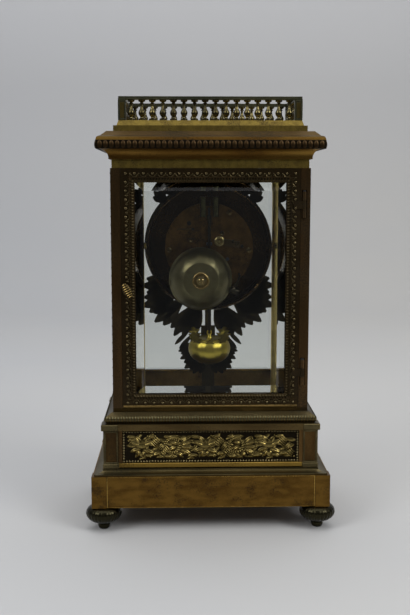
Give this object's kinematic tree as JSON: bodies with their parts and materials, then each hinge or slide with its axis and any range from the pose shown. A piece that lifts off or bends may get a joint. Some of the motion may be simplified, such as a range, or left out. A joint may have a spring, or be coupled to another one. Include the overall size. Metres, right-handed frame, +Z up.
{
  "type": "cage clock",
  "caption": "Glazed gilt-brass cage clock on a plinth with turned feet, a balustrade top, hinged bevelled-glass doors, a striking drum movement, bell and pendulum.",
  "frame": {"origin": "on the surface the clock stands on, under the middle of the case", "axes": "+Z up, -Y out of the dial, +Y out of the rear door, +X to the right as seen from the front"},
  "size_m": [0.2643, 0.1656, 0.45],
  "materials": {
    "aged_gilt": "aged gilt with brown patina",
    "gilt_bright": "burnished gilt",
    "movement_brass": "satin lacquered",
    "steel": "blued and polished",
    "bell_metal": "silvered satin",
    "enamel": "fired enamel",
    "glass": "clear bevelled"
  },
  "bodies": {
    "case": {"feet": "aged_gilt", "plinth": "aged_gilt", "plinth_moulding": "aged_gilt", "frieze_panel_back": "gilt_bright", "frieze_panel_front": "gilt_bright", "frieze_panel_right": "gilt_bright", "frieze_panel_left": "gilt_bright", "frieze_block": "aged_gilt", "ledge": "aged_gilt", "floor_plate": "aged_gilt", "corner_posts": "aged_gilt", "hinge_pins": "steel", "side_frame_left": "aged_gilt", "side_glass_left": "glass", "side_frame_right": "aged_gilt", "side_glass_right": "glass", "architrave": "aged_gilt", "cornice": "aged_gilt", "attic": "aged_gilt", "gallery_rail": "aged_gilt", "gallery_posts": "aged_gilt", "gallery_balusters": "aged_gilt", "front_plate": "movement_brass", "back_plate": "movement_brass", "plate_pillars": "movement_brass", "drum": "movement_brass", "upright_left": "movement_brass", "upright_right": "movement_brass", "drum_clamps": "movement_brass", "dial": "enamel", "dial_surround": "aged_gilt", "bezel": "gilt_bright", "suspension_cock": "movement_brass", "bell": "bell_metal", "bell_stand": "movement_brass", "bell_nut": "movement_brass"},
    "rear_door": {"rear_door_frame": "aged_gilt", "rear_glass": "glass"},
    "rear_latch": {"rear_latch": "gilt_bright"},
    "front_door": {"front_door_frame": "aged_gilt", "front_glass": "glass"},
    "front_latch": {"front_latch": "gilt_bright"},
    "pendulum": {"pendulum_rod": "steel", "pendulum_bob": "gilt_bright", "suspension_spring": "steel"},
    "anchor": {"anchor": "steel"},
    "centre_arbor": {"centre_wheel": "movement_brass", "minute_hand": "steel"},
    "hour_pipe": {"hour_wheel": "movement_brass", "hour_hand": "steel"},
    "minute_wheel": {"minute_wheel": "movement_brass"},
    "intermediate_wheel": {"intermediate_wheel": "movement_brass"},
    "going_barrel": {"going_barrel": "movement_brass"},
    "going_arbor": {"going_arbor": "steel"},
    "third_wheel": {"third_wheel": "movement_brass"},
    "escape_wheel": {"escape_wheel": "movement_brass"},
    "strike_barrel": {"strike_barrel": "movement_brass"},
    "strike_arbor": {"strike_arbor": "steel"},
    "pin_wheel": {"pin_wheel": "movement_brass"},
    "hammer": {"hammer": "steel"}
  },
  "joints": [
    {"name": "rear_door_hinge", "type": "hinge", "parent": "case", "child": "rear_door", "pos_m": [-0.09646, 0.0534, 0.25225], "axis": [0, 0, 1], "range_deg": [0, 110]},
    {"name": "rear_latch_turn", "type": "hinge", "parent": "rear_door", "child": "rear_latch", "pos_m": [0.08646, 0.0534, 0.25225], "axis": [0, -1, 0], "range_deg": [0, 90]},
    {"name": "front_door_hinge", "type": "hinge", "parent": "case", "child": "front_door", "pos_m": [0.09646, -0.0534, 0.25225], "axis": [0, 0, 1], "range_deg": [0, 110]},
    {"name": "front_latch_turn", "type": "hinge", "parent": "front_door", "child": "front_latch", "pos_m": [-0.08646, -0.0534, 0.25225], "axis": [0, 1, 0], "range_deg": [0, 90]},
    {"name": "pendulum_swing", "type": "hinge", "parent": "case", "child": "pendulum", "pos_m": [0, 0.0076, 0.33521], "axis": [0, 1, 0], "range_deg": [-3.5, 3.5]},
    {"name": "anchor_rock", "type": "hinge", "parent": "case", "child": "anchor", "pos_m": [0, -0.0301, 0.33521], "axis": [0, 1, 0], "range_deg": [-3.5, 3.5]},
    {"name": "centre_turn", "type": "hinge", "parent": "case", "child": "centre_arbor", "pos_m": [0, -0.0301, 0.2932], "axis": [0, 1, 0], "continuous": true},
    {"name": "hour_turn", "type": "hinge", "parent": "case", "child": "hour_pipe", "pos_m": [0, -0.0301, 0.2932], "axis": [0, 1, 0], "continuous": true},
    {"name": "minute_wheel_turn", "type": "hinge", "parent": "case", "child": "minute_wheel", "pos_m": [0, -0.0301, 0.3052], "axis": [0, 1, 0], "continuous": true},
    {"name": "intermediate_turn", "type": "hinge", "parent": "case", "child": "intermediate_wheel", "pos_m": [0.01962, -0.0301, 0.3007], "axis": [0, 1, 0], "continuous": true},
    {"name": "going_barrel_turn", "type": "hinge", "parent": "case", "child": "going_barrel", "pos_m": [0.02, -0.0301, 0.2802], "axis": [0, 1, 0], "continuous": true},
    {"name": "going_wind", "type": "hinge", "parent": "case", "child": "going_arbor", "pos_m": [0.02, -0.0301, 0.2802], "axis": [0, 1, 0], "continuous": true},
    {"name": "third_turn", "type": "hinge", "parent": "case", "child": "third_wheel", "pos_m": [-0.01415, -0.0301, 0.30845], "axis": [0, 1, 0], "continuous": true},
    {"name": "escape_turn", "type": "hinge", "parent": "case", "child": "escape_wheel", "pos_m": [0, -0.0301, 0.32071], "axis": [0, 1, 0], "continuous": true},
    {"name": "strike_barrel_turn", "type": "hinge", "parent": "case", "child": "strike_barrel", "pos_m": [-0.02, -0.0301, 0.2802], "axis": [0, 1, 0], "continuous": true},
    {"name": "strike_wind", "type": "hinge", "parent": "case", "child": "strike_arbor", "pos_m": [-0.02, -0.0301, 0.2802], "axis": [0, 1, 0], "continuous": true},
    {"name": "pin_wheel_turn", "type": "hinge", "parent": "case", "child": "pin_wheel", "pos_m": [-0.00111, -0.0301, 0.27223], "axis": [0, 1, 0], "continuous": true},
    {"name": "hammer_swing", "type": "hinge", "parent": "case", "child": "hammer", "pos_m": [-0.03288, -0.0301, 0.2638], "axis": [0, 1, 0], "range_deg": [0, 12], "stiffness_Nm_per_rad": 0.004, "springref_deg": -20.05}
  ],
  "couplings": [
    {"joint": "anchor_rock", "follows": "pendulum_swing", "ratio": 1},
    {"joint": "hour_turn", "follows": "centre_turn", "ratio": 0.083333},
    {"joint": "minute_wheel_turn", "follows": "centre_turn", "ratio": -0.33333},
    {"joint": "intermediate_turn", "follows": "centre_turn", "ratio": -0.16667},
    {"joint": "going_barrel_turn", "follows": "centre_turn", "ratio": 0.023148},
    {"joint": "third_turn", "follows": "centre_turn", "ratio": -12},
    {"joint": "escape_turn", "follows": "centre_turn", "ratio": 144},
    {"joint": "pin_wheel_turn", "follows": "strike_barrel_turn", "ratio": -7.2}
  ]
}
